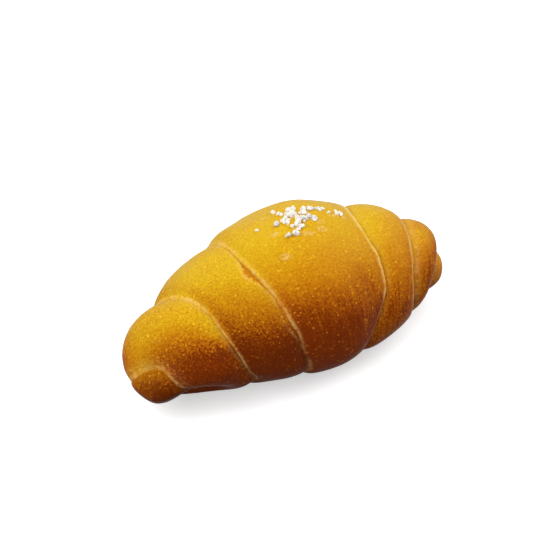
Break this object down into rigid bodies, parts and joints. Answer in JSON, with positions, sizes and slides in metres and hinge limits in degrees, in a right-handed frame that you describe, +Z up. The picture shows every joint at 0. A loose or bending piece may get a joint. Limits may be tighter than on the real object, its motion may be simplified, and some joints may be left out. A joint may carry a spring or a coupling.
{
  "type": "salt bread roll",
  "caption": "Baked butter roll wound from a strip of dough into a tapering spindle with stepped laps, small knobs at the ends, a flat base and coarse salt on the crest.",
  "frame": {"origin": "centre of the bounding box's bottom face, on the surface that the roll lies on", "axes": "+X along the roll, from the bigger, more drooping end to the smaller one; -Y is the front, toward which both ends bend; +Z up"},
  "size_m": [0.132, 0.0714, 0.051],
  "materials": {
    "crust": "Thin glossy baked crust, golden on top and browner toward the base, with fine blisters and pale edges on the laps",
    "salt": "Coarse white salt, partly clear, on the crest"
  },
  "bodies": {
    "root": {"salt_bread_roll": "crust"}
  },
  "joints": []
}
